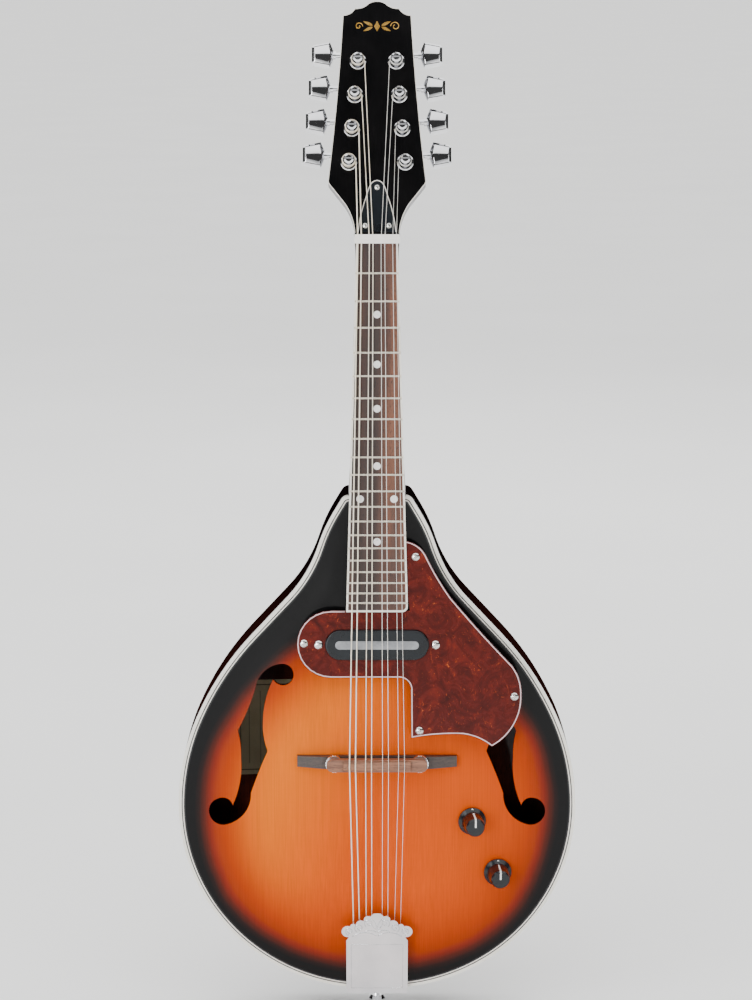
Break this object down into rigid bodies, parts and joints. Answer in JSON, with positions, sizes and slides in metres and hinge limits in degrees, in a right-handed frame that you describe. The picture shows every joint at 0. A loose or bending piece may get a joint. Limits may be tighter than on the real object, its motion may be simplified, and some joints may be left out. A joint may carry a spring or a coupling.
{
  "type": "mandolin",
  "caption": "Teardrop-bodied electro-acoustic mandolin with arched sunburst top, f-holes, floating bridge, pickguard with built-in pickup, control knobs and geared tuners.",
  "frame": {"origin": "centre of the strap button's seat on the end of the body, midway through the rim's depth", "axes": "+Z along the body towards the headstock, -Y out of the top where the strings are, +X towards the treble side"},
  "size_m": [0.2706, 0.0963, 0.6884],
  "materials": {
    "spruce_top": "high gloss sunburst lacquer over spruce, black at the rim to amber in the middle",
    "mahogany": "high gloss dark red-brown stain over mahogany",
    "spruce_inner": "bare wood",
    "neck_wood": "gloss dark red-brown stain over mahogany",
    "binding": "ivory celluloid, polished",
    "purfling": "black and white plies, polished",
    "paper": "aged matt paper",
    "head_black": "black gloss lacquer",
    "rosewood": "oiled satin rosewood",
    "bridge_wood": "satin rosewood",
    "pearl": "pearly celluloid",
    "bone": "polished bone",
    "fret_metal": "polished nickel silver",
    "string_metal": "bright steel and wound bronze",
    "steel": "bright steel",
    "tortoiseshell": "red-brown mottled celluloid, gloss, pale bevelled edge",
    "black_plastic": "gloss black plastic",
    "blade_metal": "satin grey steel",
    "post_plastic": "matt black plastic",
    "chrome": "bright chrome plate",
    "pot_metal": "plain pressed metal",
    "wire_sleeve": "insulated wire"
  },
  "bodies": {
    "body": {"back_plate": "mahogany", "bridge_base": "bridge_wood", "bridge_studs": "steel", "control_pots": "pot_metal", "fingerboard": "rosewood", "fingerboard_binding": "binding", "frets": "fret_metal", "headstock_veneer": "head_black", "linings": "spruce_inner", "neck": "neck_wood", "neck_block": "spruce_inner", "nut": "bone", "output_jack": "chrome", "pickguard": "tortoiseshell", "pickguard_posts": "post_plastic", "position_markers": "pearl", "ribs": "mahogany", "soundhole_label": "paper", "strap_button": "chrome", "strings": "string_metal", "tail_block": "spruce_inner", "tailpiece_base": "chrome", "tone_bars": "spruce_inner", "top_binding": "binding", "top_plate": "spruce_top", "top_purfling": "purfling", "truss_rod": "steel", "truss_rod_cover": "black_plastic", "tuner_bushings": "chrome", "tuner_plate_screws": "steel", "tuner_plates": "chrome", "wiring": "wire_sleeve", "wood_screws": "steel"},
    "saddle": {"bridge_saddle": "bridge_wood"},
    "bass_wheel": {"thumbwheel_bass": "chrome"},
    "treble_wheel": {"thumbwheel_treble": "chrome"},
    "pickup": {"pickup_cover": "black_plastic", "pickup_blade": "blade_metal"},
    "pickup_screw_bass": {"pickup_screw_bass": "steel"},
    "pickup_screw_treble": {"pickup_screw_treble": "steel"},
    "volume_knob": {"volume_knob": "black_plastic"},
    "tone_knob": {"tone_knob": "black_plastic"},
    "truss_nut": {"truss_rod_nut": "steel"},
    "tail_cover": {"tailpiece_cover": "chrome"},
    "key_1": {"tuner_key_1": "chrome"},
    "post_1": {"string_post_1": "chrome"},
    "key_2": {"tuner_key_2": "chrome"},
    "post_2": {"string_post_2": "chrome"},
    "key_3": {"tuner_key_3": "chrome"},
    "post_3": {"string_post_3": "chrome"},
    "key_4": {"tuner_key_4": "chrome"},
    "post_4": {"string_post_4": "chrome"},
    "key_5": {"tuner_key_5": "chrome"},
    "post_5": {"string_post_5": "chrome"},
    "key_6": {"tuner_key_6": "chrome"},
    "post_6": {"string_post_6": "chrome"},
    "key_7": {"tuner_key_7": "chrome"},
    "post_7": {"string_post_7": "chrome"},
    "key_8": {"tuner_key_8": "chrome"},
    "post_8": {"string_post_8": "chrome"}
  },
  "joints": [
    {"name": "key_1_turn", "type": "hinge", "parent": "body", "child": "key_1", "pos_m": [-0.0187, 0.02162, 0.56898], "axis": [1, 0, 0], "continuous": true},
    {"name": "post_1_turn", "type": "hinge", "parent": "body", "child": "post_1", "pos_m": [-0.0187, 0.00219, 0.56588], "axis": [0, -0.9537, 0.3007], "continuous": true},
    {"name": "key_2_turn", "type": "hinge", "parent": "body", "child": "key_2", "pos_m": [-0.0167, 0.02851, 0.59082], "axis": [1, 0, 0], "continuous": true},
    {"name": "post_2_turn", "type": "hinge", "parent": "body", "child": "post_2", "pos_m": [-0.0167, 0.00907, 0.58772], "axis": [0, -0.9537, 0.3007], "continuous": true},
    {"name": "key_3_turn", "type": "hinge", "parent": "body", "child": "key_3", "pos_m": [-0.0148, 0.03539, 0.61266], "axis": [1, 0, 0], "continuous": true},
    {"name": "post_3_turn", "type": "hinge", "parent": "body", "child": "post_3", "pos_m": [-0.0148, 0.01596, 0.60956], "axis": [0, -0.9537, 0.3007], "continuous": true},
    {"name": "key_4_turn", "type": "hinge", "parent": "body", "child": "key_4", "pos_m": [-0.0128, 0.04228, 0.6345], "axis": [1, 0, 0], "continuous": true},
    {"name": "post_4_turn", "type": "hinge", "parent": "body", "child": "post_4", "pos_m": [-0.0128, 0.02285, 0.6314], "axis": [0, -0.9537, 0.3007], "continuous": true},
    {"name": "key_5_turn", "type": "hinge", "parent": "body", "child": "key_5", "pos_m": [0.0187, 0.02162, 0.56898], "axis": [1, 0, 0], "continuous": true},
    {"name": "post_5_turn", "type": "hinge", "parent": "body", "child": "post_5", "pos_m": [0.0187, 0.00219, 0.56588], "axis": [0, -0.9537, 0.3007], "continuous": true},
    {"name": "key_6_turn", "type": "hinge", "parent": "body", "child": "key_6", "pos_m": [0.0167, 0.02851, 0.59082], "axis": [1, 0, 0], "continuous": true},
    {"name": "post_6_turn", "type": "hinge", "parent": "body", "child": "post_6", "pos_m": [0.0167, 0.00907, 0.58772], "axis": [0, -0.9537, 0.3007], "continuous": true},
    {"name": "key_7_turn", "type": "hinge", "parent": "body", "child": "key_7", "pos_m": [0.0148, 0.03539, 0.61266], "axis": [1, 0, 0], "continuous": true},
    {"name": "post_7_turn", "type": "hinge", "parent": "body", "child": "post_7", "pos_m": [0.0148, 0.01596, 0.60956], "axis": [0, -0.9537, 0.3007], "continuous": true},
    {"name": "key_8_turn", "type": "hinge", "parent": "body", "child": "key_8", "pos_m": [0.0128, 0.04228, 0.6345], "axis": [1, 0, 0], "continuous": true},
    {"name": "post_8_turn", "type": "hinge", "parent": "body", "child": "post_8", "pos_m": [0.0128, 0.02285, 0.6314], "axis": [0, -0.9537, 0.3007], "continuous": true},
    {"name": "volume_turn", "type": "hinge", "parent": "body", "child": "volume_knob", "pos_m": [0.0644, -0.02764, 0.122], "axis": [0.1352, -0.9901, -0.0387], "range_deg": [-150, 150]},
    {"name": "tone_turn", "type": "hinge", "parent": "body", "child": "tone_knob", "pos_m": [0.0823, -0.02328, 0.0845], "axis": [0.0976, -0.9932, -0.0629], "range_deg": [-150, 150]},
    {"name": "truss_nut_turn", "type": "hinge", "parent": "body", "child": "truss_nut", "pos_m": [0, -0.00531, 0.52514], "axis": [0, 0.0785, 0.9969], "range_deg": [-180, 180]},
    {"name": "saddle_height", "type": "slide", "parent": "body", "child": "saddle", "axis": [0, -1, 0], "range_m": [-0.0012, 0]},
    {"name": "bass_wheel_turn", "type": "hinge", "parent": "saddle", "child": "bass_wheel", "pos_m": [-0.0289, -0.039, 0.165], "axis": [0, -1, 0], "range_deg": [-617.5, 0]},
    {"name": "treble_wheel_turn", "type": "hinge", "parent": "saddle", "child": "treble_wheel", "pos_m": [0.0289, -0.039, 0.165], "axis": [0, -1, 0], "range_deg": [-617.5, 0]},
    {"name": "pickup_height", "type": "slide", "parent": "body", "child": "pickup", "axis": [0, -0.9969, 0.0785], "range_m": [-0.001, 0.001]},
    {"name": "pickup_screw_bass_turn", "type": "hinge", "parent": "body", "child": "pickup_screw_bass", "pos_m": [-0.0392, -0.0353, 0.2464], "axis": [0, -0.9969, 0.0785], "range_deg": [-720.5, 720.5]},
    {"name": "pickup_screw_treble_turn", "type": "hinge", "parent": "body", "child": "pickup_screw_treble", "pos_m": [0.0392, -0.0353, 0.2464], "axis": [0, -0.9969, 0.0785], "range_deg": [-720.5, 720.5]},
    {"name": "cover_slide", "type": "slide", "parent": "body", "child": "tail_cover", "axis": [0, -0.1568, 0.9876], "range_m": [0, 0.06]}
  ],
  "couplings": [
    {"joint": "post_1_turn", "follows": "key_1_turn", "ratio": 0.071429},
    {"joint": "post_2_turn", "follows": "key_2_turn", "ratio": 0.071429},
    {"joint": "post_3_turn", "follows": "key_3_turn", "ratio": 0.071429},
    {"joint": "post_4_turn", "follows": "key_4_turn", "ratio": 0.071429},
    {"joint": "post_5_turn", "follows": "key_5_turn", "ratio": 0.071429},
    {"joint": "post_6_turn", "follows": "key_6_turn", "ratio": 0.071429},
    {"joint": "post_7_turn", "follows": "key_7_turn", "ratio": 0.071429},
    {"joint": "post_8_turn", "follows": "key_8_turn", "ratio": 0.071429},
    {"joint": "bass_wheel_turn", "follows": "saddle_height", "rad_per_m": 8976},
    {"joint": "treble_wheel_turn", "follows": "saddle_height", "rad_per_m": 8976},
    {"joint": "pickup_screw_bass_turn", "follows": "pickup_height", "rad_per_m": -12566},
    {"joint": "pickup_screw_treble_turn", "follows": "pickup_height", "rad_per_m": -12566}
  ]
}
